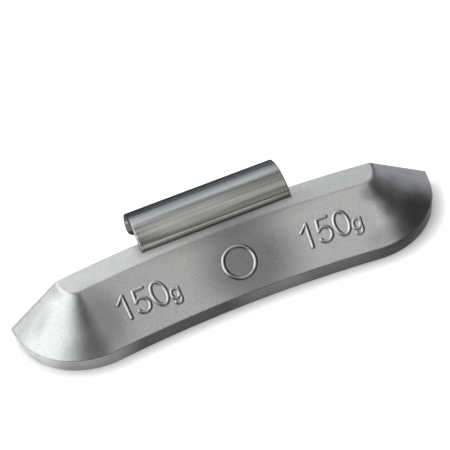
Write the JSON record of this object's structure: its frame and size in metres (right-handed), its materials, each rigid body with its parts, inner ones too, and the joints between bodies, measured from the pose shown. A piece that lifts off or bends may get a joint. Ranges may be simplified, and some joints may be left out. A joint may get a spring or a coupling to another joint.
{
  "type": "wheel balance weight",
  "caption": "Clip-on balance weight for a truck rim: curved cast bar with sloped face, flat top and rounded ends, and a spring-steel hook that grips the rim flange.",
  "frame": {"origin": "middle of the flat back face, on the bar's middle arc", "axes": "+X along the bar, +Y away from the wheel's axle towards the rim flange, +Z out of the back face to the flat top and the hook"},
  "size_m": [0.1082, 0.0353, 0.0168],
  "materials": {
    "cast_metal": "satin silver-grey coat on a fine-grained casting",
    "clip_steel": "rolled spring steel with fine lengthwise streaks"
  },
  "bodies": {
    "root": {"weight_body": "cast_metal", "rim_clip": "clip_steel"}
  },
  "joints": []
}
